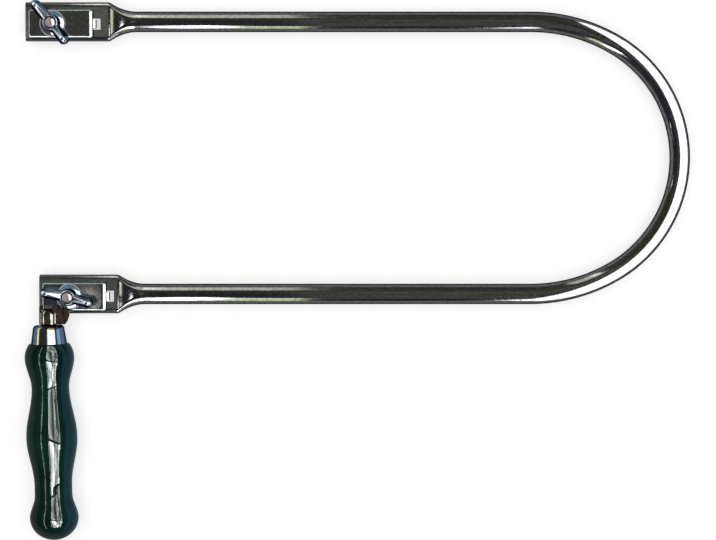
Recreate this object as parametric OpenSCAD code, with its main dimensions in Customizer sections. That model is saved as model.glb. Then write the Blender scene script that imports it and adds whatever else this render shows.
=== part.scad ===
// Fret saw lying on its side: X runs from the clamps to the bend, Y from the handle to the upper arm,
// Z up from the bench. All lengths are in millimetres.

/* [Bow] */
// From the end of the upper clamp to the centre line of the bend
reach = 318.8; // [220:0.1:420]
// How much further back the lower clamp ends
lower_setback = 5.9; // [0:0.1:15]
// Between the centre lines of the two arms
arm_spacing = 132.7; // [100:0.1:170]
// Outside diameter of the tube
tube_d = 10; // [8:0.5:13]
// Wall of the tube
tube_wall = 1; // [0.6:0.1:1.6]
// Radius of the crown of the bend, as a share of half the arm spacing
crown_share = 0.965; // [0.92:0.005:1.04]
// Half the angle that the crown of the bend turns through
crown_angle = 60; // [45:1:70]

/* [Flat ends of the bow] */
// Width of the flat ends
flat_w = 19; // [18:0.5:24]
// Thickness of the flat ends
flat_t = 5; // [4.6:0.1:7]
// Wall of the flat ends
flat_wall = 1; // [0.8:0.1:1.2]
// Length of the upper flat end
upper_flat_l = 40.8; // [39:0.1:60]
// Length of the lower flat end
lower_flat_l = 38.6; // [38:0.1:60]
// Length of each flare from the flat end to the round tube
flare_l = 13; // [8:0.5:25]

/* [Clamp bolts] */
// Diameter of the bolts
bolt_d = 5; // [4:0.5:5.5]
// Rise of the thread in one turn
bolt_pitch = 0.8; // [0.5:0.05:1]
// Turns by which each wing nut can be loosened
loosening_turns = 3; // [1:0.5:3]
// From the end of the upper clamp to its bolt
upper_bolt_in = 13.5; // [12:0.1:18]
// From the end of the lower clamp to its bolt
lower_bolt_in = 15; // [12:0.1:18]
// How far bolts, plates and slots lie below the arms' centre lines
clamp_drop = 1.1; // [0:0.1:1.5]
// Width across the flats of the square bolt heads
head_w = 9; // [8:0.5:10]
// Play of the square necks in their holes, on each side
neck_play = 0.1; // [0.05:0.05:0.3]

/* [Clamp plates] */
// From the end of each clamp to the edge of the plate that grips the blade
plate_in = 1.6; // [0.5:0.1:4]
// From the end of each clamp to the outer face of the plate's heel
heel_in = 33; // [30:0.1:34]
// From the sides of the plates to the edges of the flat ends, on average
plate_margin = 2.5; // [2:0.1:3]
// Height of the plates over the flat ends
plate_h = 3; // [2.6:0.1:4]
// Sheet that the plates are pressed from
plate_sheet = 1.2; // [0.8:0.1:1.4]
// Radius of the corners of the plates
plate_corner_r = 1.5; // [0.5:0.1:2.5]
// Play of the bolts in the tilted plates
plate_play = 0.15; // [0.1:0.05:0.3]
// Width of the tongues
tongue_w = 4; // [3:0.5:5]
// Gap between the plates and what they close on
seat_gap = 0.05; // [0.03:0.01:0.1]

/* [Slots for the tongues] */
// Play of the swung tongue at the near end of the slot
slot_play = 0.3; // [0.2:0.1:0.6]
// Open length of the slot beyond the heel
slot_open = 3.5; // [3:0.1:4]
// Room beside the tongue, on each side
slot_side = 0.8; // [0.3:0.1:1]

/* [Washers] */
// Outside diameter of the domed washers
washer_d = 13; // [12:0.5:14]
// Height of the domed washers
washer_h = 2.2; // [1.6:0.1:3]
// Sheet that the washers are pressed from
washer_sheet = 1.2; // [0.8:0.1:1.4]
// Play of the bolts in the washers, all round
washer_play = 0.15; // [0.05:0.05:0.3]

/* [Wing nuts] */
// Across the tips of the wings
wing_span = 26; // [22:0.5:26]
// Height of the wing nuts to the tops of the wings
wing_h = 12; // [10:0.5:14]
// Height of the hubs
hub_h = 6.5; // [5:0.1:8]
// Diameter of the hubs at the top
hub_top_d = 7; // [6.8:0.1:8]
// Diameter of the hubs at the bottom
hub_base_d = 8.4; // [8:0.1:10]
// Thickness of the wings at the bottom
wing_base_t = 5.2; // [3.5:0.1:5.5]
// Thickness of the wings at the top
wing_top_t = 2.2; // [1.4:0.1:3]
// Radius of the rounded tops of the wings
wing_top_r = 2.6; // [2:0.1:3]
// Running clearance of the wing nuts on the bolts, all round
thread_play = 0.05; // [0.03:0.01:0.1]
// Direction of the upper nut's wings at rest
upper_wing_angle = -51; // [-90:1:90]
// Direction of the lower nut's wings at rest
lower_wing_angle = -13; // [-90:1:90]

/* [Handle bracket] */
// Sheet that the bracket is pressed from
bracket_sheet = 1.2; // [0.8:0.1:1.3]
// Width of the leaf
leaf_w = 14.9; // [12:0.1:15]
// Metal left between the lower plate's hole and its cut-away corner
plate_web = 1.1; // [1:0.1:2]
// Radius of the leaf's free corner
leaf_r = 9.1; // [6:0.1:10]
// How far that corner's round is centred inside the edge of the flat end
leaf_r_in = 0.8; // [0:0.1:3]
// How far the rolled knuckle climbs over the edge of the flat end
knuckle_rise = 3; // [1.5:0.1:3.2]
// Gap between the leaf and the lower clamp plate
leaf_gap = 0.4; // [0.2:0.1:0.8]

/* [Handle] */
// From the end of the lower clamp to the handle's axis
tang_in = 4.3; // [4:0.1:7]
// Diameter of the tang
tang_d = 5; // [4:0.5:5]
// Length of the tang
tang_l = 62; // [30:1:80]
// Play between tang, bracket, ferrule and wood, all round
tang_play = 0.05; // [0.03:0.01:0.1]
// How far the handle leans towards the bow
handle_lean = 1.4; // [0:0.1:3]
// From the edge of the flat end to the top of the ferrule
ferrule_gap = 5.5; // [5:0.1:12]
// Length of the ferrule
ferrule_l = 9.3; // [7:0.1:20]
// Diameter of the ferrule at the top
ferrule_top_d = 15.4; // [13:0.1:17]
// Diameter of the ferrule at the bottom
ferrule_base_d = 17.6; // [16:0.1:18]
// Wall of the ferrule
ferrule_wall = 0.8; // [0.5:0.1:0.9]
// Radius of the ferrule's rounded shoulder
ferrule_round_r = 2; // [1:0.1:3]
// Length of the wooden handle below the ferrule
handle_l = 96.4; // [80:0.1:130]
// Greatest diameter of the handle
handle_d = 24.9; // [23:0.1:32]

/* [Hidden] */

$fn = 96;
// How far cuts run past what they cut
overrun = 0.1;
// How far the skins of the flares and of the bend's shoulders lie inside those that they join
seam = 0.02;
// Sides of the flares, and steps along them
flare_sides = 36;
flare_steps = 8;
// Sides of the small round pieces that hulls join
hull_sides = 32;
// Steps along each stretch of the turned outline
turning_steps = 8;
// Gap between the edge of the flat end and the end of the tang
tang_gap = 0.2;

// Sizes of the bend, from the arms' spacing
crown_r = crown_share * arm_spacing / 2;
shoulder_r = (arm_spacing / 2 - crown_r * sin(crown_angle)) / (1 - sin(crown_angle));
crown_x = reach - crown_r;
shoulder_x = crown_x - (shoulder_r - crown_r) * cos(crown_angle);
shoulder_y = (shoulder_r - crown_r) * sin(crown_angle);
shoulder_lap = overrun / shoulder_r * 180 / PI;

// Heights over the mid-plane of the bow: faces of the flat ends, then what is stacked on them
face_z = flat_t / 2;
plate_z = face_z + seat_gap;
washer_z = plate_z + plate_h + seat_gap;
nut_z = washer_z + washer_h + seat_gap;
bolt_top_z = nut_z + hub_h;
head_h = flat_t - 2 * flat_wall - 2 * neck_play;
head_top_z = face_z - flat_wall;
bolt_chamfer = bolt_pitch / 2;

// Loosening a nut lets its plate tilt about the foot of the heel until it meets the raised washer
plate_tilt = atan(
    bolt_pitch * loosening_turns
    / (heel_in - min(upper_bolt_in, lower_bolt_in) + washer_d / 2)
);
plate_hole_r = bolt_d / 2 + plate_play + plate_h * sin(plate_tilt) + heel_in * (1 - cos(plate_tilt));
plate_w = flat_w - 2 * plate_margin;

// The tongue hangs down through the front wall and stops short of the back face
tongue_end_z = -face_z + flat_wall / 2;
slot_start = heel_in - slot_play - (plate_z - tongue_end_z) * sin(plate_tilt);
slot_w = tongue_w + 2 * slot_side;

// The handle's axis starts at the edge of the lower flat end, level with its face
pivot = [lower_setback + tang_in, -(arm_spacing + flat_w) / 2, face_z];
knuckle_r = tang_d / 2 + tang_play + bracket_sheet;
knuckle_top = knuckle_r - knuckle_rise;
shoulder_start = ferrule_gap + ferrule_l;
tang_hole_r = tang_d / 2 + tang_play;
leaf_bottom = ferrule_gap - bracket_sheet / 4;

// The leaf lies over the flat end as far as the lower plate's hole leaves room
leaf_overlap = flat_w / 2 - clamp_drop - plate_hole_r - plate_web - leaf_gap;

// Places of the handle's bulges and necks, as shares of its length
turning_place_shares = [0.07, 0.223, 0.476, 0.719, 0.77, 0.886];
// Diameters there, as shares of the greatest diameter
turning_d_shares = [0.967, 0.733, 1, 0.735, 0.735, 0.953];
// The rounded top of the handle is cut from an oval of this share of its length
turning_top_share = 0.122;

// The origin: middle of the saw's length and width, on the bench that the handle rests on
left_x = min(0, pivot[0] - handle_d / 2 * turning_d_shares[0]
    + (shoulder_start + handle_l * turning_place_shares[0]) * sin(handle_lean));
right_x = reach + tube_d / 2;
top_y = (arm_spacing + flat_w) / 2;
bottom_y = pivot[1] - (shoulder_start + handle_l) * cos(handle_lean);
origin = [(left_x + right_x) / 2, (top_y + bottom_y) / 2, face_z - handle_d / 2];

// Half width and half thickness of the tube along a flare, from the flat end (share 0) to the round tube (1)
function flare_half_w(r, w, share) = r + (w - r) * pow(1 - share, 2);
function flare_half_t(r, t, share) = r - (r - t) * pow(1 - share, 2);

// One ring of points round a flattened tube, at a place along X
function ring(x, w, t) = [
    for (i = [0:flare_sides - 1])
        let (a = (i + 0.5) * 360 / flare_sides)
            [x, (w - t) * sign(cos(a)) + t * cos(a), t * sin(a)]
];

// A quarter of an oval from its side (share 0) to its tip (share 1): [out from the axis, along it]
function oval(r, l, share) = [r * cos(90 * share), l * sin(90 * share)];

// A smooth swell or hollow between two turned diameters
function eased(a, b, share) = a + (b - a) * (1 - cos(180 * share)) / 2;

function turning_place(i) = handle_l * turning_place_shares[i];
function turning_r(i) = handle_d / 2 * turning_d_shares[i];

module place() {
    translate(-origin) children();
}

// What is drawn from the end of a clamp: "at" is 1 for the upper arm and -1 for the lower one
module on_clamp(at) {
    place()
        translate([at > 0 ? 0 : lower_setback, at * arm_spacing / 2, 0])
            children();
}

// What is turned round the handle's axis, with Z running from the bracket to the handle's end
module on_tang() {
    place()
        translate(pivot)
            rotate([0, 0, handle_lean])
                rotate([90, 0, 0])
                    children();
}

// Long slot or bar with half-round ends, centred, long side along X
module stadium(length, width) {
    square([length - width, width], center = true);
    for (side = [-1, 1])
        translate([side * (length - width) / 2, 0]) circle(d = width);
}

// Solid between the rings that are given in order along X
module loft(rings) {
    n = len(rings[0]);
    last = len(rings) - 1;
    points = [for (r = rings) each r];
    sides = [
        for (k = [0:last - 1], i = [0:n - 1])
            let (a = k * n + i, b = k * n + (i + 1) % n)
                each [[a, a + n, b], [b, a + n, b + n]]
    ];
    caps = [[for (i = [0:n - 1]) i], [for (i = [n - 1:-1:0]) last * n + i]];
    polyhedron(points = points, faces = concat(sides, caps));
}

// Flare from a flat end to the round tube, whose first and last rings carry on a little into both
module flare(r, w, t) {
    loft([
        for (k = [-1:flare_steps + 1])
            let (
                share = min(max(k / flare_steps, 0), 1),
                lap = k < 0 ? -overrun : k > flare_steps ? overrun : 0
            )
                ring(
                    flare_l * share + lap,
                    flare_half_w(r, w, share) - seam,
                    flare_half_t(r, t, share) - seam
                )
    ]);
}

// Flat end, flare and straight arm. "past" is how far the flat end runs out beyond the clamp's end.
module arm(at, r, w, t, flat_l, past) {
    start = at > 0 ? 0 : lower_setback;
    translate([start, at * arm_spacing / 2, 0]) {
        translate([-past, 0, 0])
            rotate([90, 0, 90])
                linear_extrude(flat_l + past) stadium(2 * w, 2 * t);
        translate([flat_l, 0, 0]) flare(r, w, t);
        translate([flat_l + flare_l, 0, 0])
            rotate([0, 90, 0])
                cylinder(r = r, h = shoulder_x - start - flat_l - flare_l);
    }
}

// The whole run of the bow, for its outside or for the hollow inside it
module bow_run(r, w, t, past) {
    arm(1, r, w, t, upper_flat_l, past);
    arm(-1, r, w, t, lower_flat_l, past);
    translate([crown_x, 0, 0])
        rotate([0, 0, -crown_angle])
            rotate_extrude(angle = 2 * crown_angle) translate([crown_r, 0]) circle(r = r);
    for (side = [0, 1])
        mirror([0, side, 0])
            translate([shoulder_x, -shoulder_y, 0])
                rotate([0, 0, crown_angle - shoulder_lap])
                    rotate_extrude(angle = 90 - crown_angle + 2 * shoulder_lap)
                        translate([shoulder_r, 0]) circle(r = r - seam);
}

// Square hole for the bolt's neck, and the slot for the tongue
module clamp_cuts(bolt_in) {
    neck_hole = bolt_d + 2 * neck_play;
    translate([bolt_in - neck_hole / 2, -clamp_drop - neck_hole / 2, 0])
        cube([neck_hole, neck_hole, flat_t]);
    translate([slot_start, -clamp_drop - slot_w / 2, -flat_t])
        cube([heel_in + slot_open - slot_start, slot_w, 2 * flat_t]);
}

module bow() {
    color("silver")
        place()
            difference() {
                bow_run(tube_d / 2, flat_w / 2, flat_t / 2, 0);
                bow_run(tube_d / 2 - tube_wall, flat_w / 2 - flat_wall, flat_t / 2 - flat_wall, overrun);
                translate([0, arm_spacing / 2, 0]) clamp_cuts(upper_bolt_in);
                translate([lower_setback, -arm_spacing / 2, 0]) clamp_cuts(lower_bolt_in);
            }
}

// Square head inside the flat end, square neck in its wall, and a round shank with a chamfered end
module clamp_bolt(at, bolt_in) {
    color("lightsteelblue")
        on_clamp(at)
            translate([bolt_in, -clamp_drop, 0]) {
                translate([-head_w / 2, -head_w / 2, head_top_z - head_h]) cube([head_w, head_w, head_h]);
                translate([-bolt_d / 2, -bolt_d / 2, head_top_z]) cube([bolt_d, bolt_d, flat_wall]);
                translate([0, 0, head_top_z])
                    cylinder(d = bolt_d, h = bolt_top_z - bolt_chamfer - head_top_z);
                translate([0, 0, bolt_top_z - bolt_chamfer])
                    cylinder(d1 = bolt_d, d2 = bolt_d - 2 * bolt_chamfer, h = bolt_chamfer);
            }
}

// Outline of a plate, drawn in from its edges by "inset"
module plate_outline(inset) {
    r = plate_corner_r;
    x = [plate_in + inset, heel_in - inset];
    y = plate_w / 2 - inset;
    translate([x[0] + r, -y]) square([x[1] - x[0] - 2 * r, 2 * y]);
    translate([x[0], -y + r]) square([x[1] - x[0], 2 * (y - r)]);
    for (cx = [x[0] + r, x[1] - r], cy = [-y + r, y - r])
        translate([cx, cy]) circle(r = r);
}

// Pressed pan with a hole for the bolt, and a tongue that steps out from the heel and goes down the slot
module plate_form(bolt_in) {
    difference() {
        linear_extrude(plate_h) plate_outline(0);
        translate([0, 0, -overrun])
            linear_extrude(plate_h - plate_sheet + overrun) plate_outline(plate_sheet);
        translate([bolt_in, 0, -overrun]) cylinder(r = plate_hole_r, h = plate_h + 2 * overrun);
    }
    translate([heel_in - plate_sheet, -tongue_w / 2, 0])
        cube([2 * plate_sheet, tongue_w, plate_sheet]);
    translate([heel_in, -tongue_w / 2, tongue_end_z - plate_z])
        cube([plate_sheet, tongue_w, plate_z - tongue_end_z + plate_sheet]);
}

module upper_clamp_plate() {
    color("gray")
        on_clamp(1)
            translate([0, -clamp_drop, plate_z]) plate_form(upper_bolt_in);
}

// The lower plate has one corner cut away beside the bracket's leaf
module lower_clamp_plate() {
    color("gray")
        on_clamp(-1)
            difference() {
                translate([0, -clamp_drop, plate_z]) plate_form(lower_bolt_in);
                translate([-overrun, -flat_w, face_z])
                    cube([
                        leaf_w + leaf_gap + overrun,
                        flat_w / 2 + leaf_overlap + leaf_gap,
                        plate_h + 2 * overrun
                    ]);
            }
}

// Domed ring: a rounded outer slope up to a flat seat for the nut
module washer(at, bolt_in) {
    seat_r = hub_base_d / 2;
    rim_r = washer_d / 2;
    hole_r = bolt_d / 2 + washer_play;
    slope = washer_h - washer_sheet / 3;
    color("lightblue")
        on_clamp(at)
            translate([bolt_in, -clamp_drop, washer_z])
                rotate_extrude()
                    polygon([
                        [hole_r, washer_h - washer_sheet],
                        [seat_r - washer_sheet / 3, washer_h - washer_sheet],
                        [rim_r - washer_sheet, 0],
                        [rim_r, 0],
                        for (k = [0:turning_steps])
                            let (p = oval(rim_r - seat_r, slope, k / turning_steps))
                                [seat_r + p[0], washer_h - slope + p[1]],
                        [hole_r, washer_h]
                    ]);
}

// One wing: broad at the foot, thin at the rounded top
module wing() {
    foot_r = wing_base_t / 2;
    root = bolt_d / 2 + thread_play;
    hull() {
        translate([root, -foot_r, hub_h / 8]) cube([overrun, wing_base_t, hub_h / 3]);
        translate([root, -wing_top_t / 2, hub_h - overrun]) cube([overrun, wing_top_t, overrun]);
        translate([wing_span / 2 - foot_r, 0, hub_h * 0.8])
            cylinder(r = foot_r, h = hub_h / 8, $fn = hull_sides);
        translate([wing_span / 2 - wing_top_r - overrun, wing_top_t / 2, wing_h - wing_top_r])
            rotate([90, 0, 0])
                cylinder(r = wing_top_r, h = wing_top_t, $fn = hull_sides);
    }
}

module wing_nut(at, bolt_in, angle) {
    color("powderblue")
        on_clamp(at)
            translate([bolt_in, -clamp_drop, nut_z])
                rotate([0, 0, angle])
                    difference() {
                        union() {
                            cylinder(d1 = hub_base_d, d2 = hub_top_d, h = hub_h);
                            for (turn = [0, 180])
                                rotate([0, 0, turn]) wing();
                        }
                        translate([0, 0, -overrun])
                            cylinder(r = bolt_d / 2 + thread_play, h = hub_h + 2 * overrun);
                    }
}

// Leaf on the face of the lower flat end: straight sides, and one large round corner at the free side
module leaf_outline() {
    top = -flat_w / 2 + leaf_overlap;
    bottom = -flat_w / 2 - leaf_bottom;
    centre = -flat_w / 2 + leaf_r_in;
    intersection() {
        translate([0, bottom]) square([leaf_w, top - bottom]);
        union() {
            translate([leaf_w - leaf_r, centre]) circle(r = leaf_r);
            translate([0, centre]) square([leaf_w, leaf_r + flat_w]);
            translate([0, centre - leaf_r]) square([leaf_w - leaf_r, 2 * leaf_r]);
        }
    }
}

module handle_bracket() {
    color("dimgray")
        difference() {
            union() {
                on_clamp(-1)
                    translate([0, 0, face_z]) linear_extrude(bracket_sheet) leaf_outline();
                on_tang() {
                    translate([0, 0, knuckle_top]) sphere(r = knuckle_r);
                    translate([0, 0, knuckle_top]) cylinder(r = knuckle_r, h = ferrule_gap - knuckle_top);
                }
            }
            on_tang() {
                translate([0, 0, knuckle_top]) sphere(r = tang_hole_r);
                translate([0, 0, knuckle_top]) cylinder(r = tang_hole_r, h = ferrule_gap);
            }
            on_clamp(-1)
                translate([-flat_w, -(flat_w + tang_gap) / 2, -flat_w + face_z])
                    cube([2 * flat_w, flat_w, flat_w]);
        }
}

module tang() {
    color("slategray")
        on_tang()
            translate([0, 0, tang_gap]) cylinder(d = tang_d, h = tang_l - tang_gap);
}

// Tapered cap with a rounded shoulder, closed at the top but for the tang's hole
module ferrule() {
    top_r = ferrule_top_d / 2;
    base_r = ferrule_base_d / 2;
    round_r = ferrule_round_r;
    color("gainsboro")
        on_tang()
            translate([0, 0, ferrule_gap])
                rotate_extrude()
                    polygon([
                        [tang_hole_r, 0],
                        for (k = [turning_steps:-1:0])
                            let (p = oval(round_r, round_r, k / turning_steps))
                                [top_r - round_r + p[0], round_r - p[1]],
                        [base_r, ferrule_l],
                        [base_r - ferrule_wall, ferrule_l],
                        [top_r - ferrule_wall, round_r],
                        [top_r - round_r, ferrule_wall],
                        [tang_hole_r, ferrule_wall]
                    ]);
}

// Turned wood: a neck inside the ferrule, an oval top, three swells with two hollows, and an oval end
module handle() {
    tenon_top_r = ferrule_top_d / 2 - ferrule_round_r - tang_play;
    tenon_side_r = ferrule_top_d / 2 - ferrule_wall - tang_play;
    tenon_base_r = ferrule_base_d / 2 - ferrule_wall - tang_play;
    tenon_top = ferrule_gap + ferrule_wall + tang_play;
    top_l = handle_l * turning_top_share;
    last = len(turning_d_shares) - 1;
    tip_l = handle_l - turning_place(last);
    outline = [
        for (k = [0:turning_steps])
            let (
                z = turning_place(0) * k / turning_steps,
                from_swell = (turning_place(0) - z) / top_l
            )
                [turning_r(0) * sqrt(1 - from_swell * from_swell), z],
        for (i = [0:last - 1], k = [1:turning_steps])
            let (share = k / turning_steps)
                [
                    eased(turning_r(i), turning_r(i + 1), share),
                    turning_place(i) + (turning_place(i + 1) - turning_place(i)) * share
                ],
        for (k = [1:turning_steps])
            let (p = oval(turning_r(last), tip_l, k / turning_steps))
                [k == turning_steps ? 0 : p[0], turning_place(last) + p[1]]
    ];
    color("darkgreen")
        on_tang()
            difference() {
                union() {
                    translate([0, 0, shoulder_start])
                        rotate_extrude() polygon(concat([[0, 0]], outline));
                    rotate_extrude()
                        polygon([
                            [0, tenon_top],
                            [tenon_top_r, tenon_top],
                            [tenon_side_r, ferrule_gap + ferrule_round_r],
                            [tenon_base_r, shoulder_start],
                            [0, shoulder_start]
                        ]);
                }
                cylinder(r = tang_hole_r, h = tang_l + tang_play);
            }
}

bow();
clamp_bolt(1, upper_bolt_in);  // upper_clamp_bolt
upper_clamp_plate();
washer(1, upper_bolt_in);  // upper_washer
wing_nut(1, upper_bolt_in, upper_wing_angle);  // upper_wing_nut
clamp_bolt(-1, lower_bolt_in);  // lower_clamp_bolt
lower_clamp_plate();
washer(-1, lower_bolt_in);  // lower_washer
wing_nut(-1, lower_bolt_in, lower_wing_angle);  // lower_wing_nut
handle_bracket();
tang();
ferrule();
handle();
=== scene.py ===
import math

import bmesh
import bpy
import numpy as np
from mathutils import Matrix, Vector

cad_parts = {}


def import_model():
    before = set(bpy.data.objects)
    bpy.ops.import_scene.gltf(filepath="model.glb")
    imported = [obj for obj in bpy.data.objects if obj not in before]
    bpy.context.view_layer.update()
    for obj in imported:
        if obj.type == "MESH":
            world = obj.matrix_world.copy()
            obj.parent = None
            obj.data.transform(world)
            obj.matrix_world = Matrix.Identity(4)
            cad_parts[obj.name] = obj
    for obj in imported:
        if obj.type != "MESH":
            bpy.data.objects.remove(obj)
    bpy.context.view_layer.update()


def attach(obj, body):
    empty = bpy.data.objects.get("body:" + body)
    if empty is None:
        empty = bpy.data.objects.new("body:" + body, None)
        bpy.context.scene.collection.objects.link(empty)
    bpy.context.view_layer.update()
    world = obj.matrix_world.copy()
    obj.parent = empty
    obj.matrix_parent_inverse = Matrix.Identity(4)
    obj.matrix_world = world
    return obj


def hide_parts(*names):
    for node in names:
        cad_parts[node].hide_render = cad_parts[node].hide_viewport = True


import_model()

# Lengths are in millimetres and angles in degrees. Meshes, lamps and the camera are scaled to metres.
MM = 0.001

# Sizes of the part, as in its source, with those that it works out rounded. In tables, 1 is the upper
# clamp and -1 the lower one.
REACH = 318.8
ARM_SPACING = 132.7
LOWER_SETBACK = 5.9
TUBE_R = 5.0
TUBE_WALL = 1.0
CROWN_SHARE = 0.965
CROWN_ANGLE = 60
FLAT_W = 19.0
FLAT_T = 5.0
FLAT_WALL = 1.0
FLAT_L = {1: 40.8, -1: 38.6}
FLARE_L = 13.0
BOLT_R = 2.5
BOLT_PITCH = 0.8
BOLT_IN = {1: 13.5, -1: 15.0}
CLAMP_DROP = 1.1
HEAD_W = 9.0
NECK_PLAY = 0.1
SHEET = 1.2
SEAT_GAP = 0.05
PLATE_IN = 1.6
HEEL_IN = 33.0
PLATE_W = 14.0
PLATE_H = 3.0
PLATE_CORNER_R = 1.5
PLATE_HOLE_R = 3.065
TONGUE_W = 4.0
TONGUE_END = -2.0
SLOT_START = 32.282
SLOT_END = 36.5
SLOT_W = 5.6
WASHER_R = 6.5
WASHER_H = 2.2
WASHER_PLAY = 0.15
HUB_H = 6.5
THREAD_PLAY = 0.05
WING_ANGLE = {1: -51.0, -1: -13.0}
LEAF_W = 14.9
LEAF_OVER = 3.83
LEAF_R = 9.1
LEAF_R_IN = 0.8
LEAF_GAP = 0.4
KNUCKLE_RISE = 3.0
TANG_IN = 4.3
TANG_R = 2.5
TANG_L = 62.0
TANG_PLAY = 0.05
LEAN = 1.4
FERRULE_GAP = 5.5
FERRULE_L = 9.3
FERRULE_TOP_R = 7.7
FERRULE_BASE_R = 8.8
FERRULE_WALL = 0.8
FERRULE_ROUND_R = 2.0
HANDLE_L = 96.4
HANDLE_R = 12.45

# The handle's bulges and necks: places as shares of its length, and radii as shares of the greatest one
PLACE_SHARES = (0.07, 0.223, 0.476, 0.719, 0.77, 0.886)
RADIUS_SHARES = (0.967, 0.733, 1.0, 0.735, 0.735, 0.953)
# The handle's rounded top is cut from an oval of this share of its length
TOP_SHARE = 0.122

# How far most cutters run past what they cut
OVERRUN = 1.0
# Voxels of the skin over a casting or pressing
SKIN_VOXEL = 0.2

SIDES = {1: "upper", -1: "lower"}
RIGHT = np.array([1.0, 0.0, 0.0])
UP = np.array([0.0, 0.0, 1.0])


def sine(angle):
    return math.sin(math.radians(angle))


def cosine(angle):
    return math.cos(math.radians(angle))


TANG_HOLE_R = TANG_R + TANG_PLAY
WOOD_START = FERRULE_GAP + FERRULE_L

# The bend: a round crown, and a wider shoulder on each side of it
CROWN_R = CROWN_SHARE * ARM_SPACING / 2
CROWN_X = REACH - CROWN_R
SHOULDER_R = (ARM_SPACING / 2 - CROWN_R * sine(CROWN_ANGLE)) / (1 - sine(CROWN_ANGLE))
SHOULDER_X = CROWN_X - (SHOULDER_R - CROWN_R) * cosine(CROWN_ANGLE)
SHOULDER_Y = (SHOULDER_R - CROWN_R) * sine(CROWN_ANGLE)

# The frame's zero, from the upper clamp's end, the bow's middle line and its mid-plane
ORIGIN = np.array([161.244, -55.5834, -9.95])

# Heights over the bench: the bow's mid-plane, the faces of the flat ends, and what is stacked on them
MID_Z = -ORIGIN[2]
FACE_Z = MID_Z + FLAT_T / 2
PLATE_Z = FACE_Z + SEAT_GAP
WASHER_Z = PLATE_Z + PLATE_H + SEAT_GAP
NUT_Z = WASHER_Z + WASHER_H + SEAT_GAP
BOLT_TOP_Z = NUT_Z + HUB_H


def clamp_x(at, along):
    """X at a distance from the end of a clamp."""
    return (0 if at > 0 else LOWER_SETBACK) + along - ORIGIN[0]


def arm_y(at):
    return at * ARM_SPACING / 2 - ORIGIN[1]


def clamp_centre(at):
    """X and Y of a clamp's bolt."""
    return clamp_x(at, BOLT_IN[at]), arm_y(at) - CLAMP_DROP


# The handle's axis starts at the edge of the lower flat end, level with its face
PIVOT = np.array([clamp_x(-1, TANG_IN), arm_y(-1) - FLAT_W / 2, FACE_Z])
AXIS = np.array([sine(LEAN), -cosine(LEAN), 0.0])
ACROSS = np.array([cosine(LEAN), sine(LEAN), 0.0])


# Meshes

def add_object(name, data):
    thing = bpy.data.objects.new(name, data)
    bpy.context.scene.collection.objects.link(thing)
    return thing


def smooth(piece, sharp):
    """Smooth shading, but for edges sharper than the angle."""
    piece.data.shade_smooth()
    piece.data.set_sharp_from_angle(angle=math.radians(sharp))


def make(name, points, faces, sharp=32):
    places = [tuple(float(c) * MM for c in point) for point in points]
    mesh = bpy.data.meshes.new(name)
    mesh.from_pydata(places, [], [list(face) for face in faces])
    bm = bmesh.new()
    bm.from_mesh(mesh)
    bmesh.ops.remove_doubles(bm, verts=bm.verts, dist=1e-7)
    bmesh.ops.recalc_face_normals(bm, faces=bm.faces)
    bm.to_mesh(mesh)
    bm.free()
    piece = add_object(name, mesh)
    smooth(piece, sharp)
    return piece


def applied(piece):
    """Bakes the modifiers into the mesh."""
    graph = bpy.context.evaluated_depsgraph_get()
    mesh = bpy.data.meshes.new_from_object(piece.evaluated_get(graph), depsgraph=graph)
    piece.modifiers.clear()
    piece.data = mesh
    return piece


def cut(piece, *cutters, how="DIFFERENCE"):
    for cutter in cutters:
        boolean = piece.modifiers.new("cut", "BOOLEAN")
        boolean.object = cutter
        boolean.operation = how
        boolean.solver = "EXACT"
    applied(piece)
    for cutter in cutters:
        bpy.data.objects.remove(cutter)
    return piece


def weighted(piece, sharp):
    """Normals that keep large faces flat where they meet small rounds."""
    smooth(piece, sharp)
    normals = piece.modifiers.new("normals", "WEIGHTED_NORMAL")
    normals.mode = "FACE_AREA"
    normals.weight = 60
    normals.keep_sharp = True
    return piece


def join(name, shells):
    """One object from several closed shells."""
    bm = bmesh.new()
    for shell in shells:
        bm.from_mesh(shell.data)
        bpy.data.objects.remove(shell)
    mesh = bpy.data.meshes.new(name)
    bm.to_mesh(mesh)
    bm.free()
    return add_object(name, mesh)


def loft_faces(rings, sides, closed=False):
    """Faces between rings of points, and from the last ring back to the first where closed."""
    faces = []
    for k in range(rings if closed else rings - 1):
        a = k * sides
        b = (k + 1) % rings * sides
        for i in range(sides):
            j = (i + 1) % sides
            faces.append((a + i, a + j, b + j, b + i))
    return faces


def lathe(name, profile, centre, axis=UP, across=RIGHT, sides=96, sharp=32):
    """Turned piece from (radius, distance along the axis) pairs; a radius of zero closes it."""
    other = np.cross(axis, across)
    points = []
    rows = []
    for radius, along in profile:
        middle = np.array(centre) + axis * along
        count = sides if radius else 1
        rows.append(range(len(points), len(points) + count))
        for i in range(count):
            a = 2 * math.pi * i / sides
            points.append(middle + radius * (math.cos(a) * across + math.sin(a) * other))
    faces = []
    for near, far in zip(rows, rows[1:]):
        for i in range(sides):
            j = (i + 1) % sides
            if len(near) == 1:
                faces.append((near[0], far[j], far[i]))
            elif len(far) == 1:
                faces.append((near[i], near[j], far[0]))
            else:
                faces.append((near[i], near[j], far[j], far[i]))
    return make(name, points, faces, sharp)


def ring_lathe(name, profile, **how):
    """Turned ring: the profile is a closed loop that keeps off the axis."""
    return lathe(name, profile + [profile[0]], **how)


def box(name, low, high):
    (x0, y0, z0), (x1, y1, z1) = low, high
    points = [(x, y, z) for z in (z0, z1) for x, y in ((x0, y0), (x1, y0), (x1, y1), (x0, y1))]
    faces = [(0, 3, 2, 1), (4, 5, 6, 7), (0, 1, 5, 4), (1, 2, 6, 5), (2, 3, 7, 6), (3, 0, 4, 7)]
    return make(name, points, faces)


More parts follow.
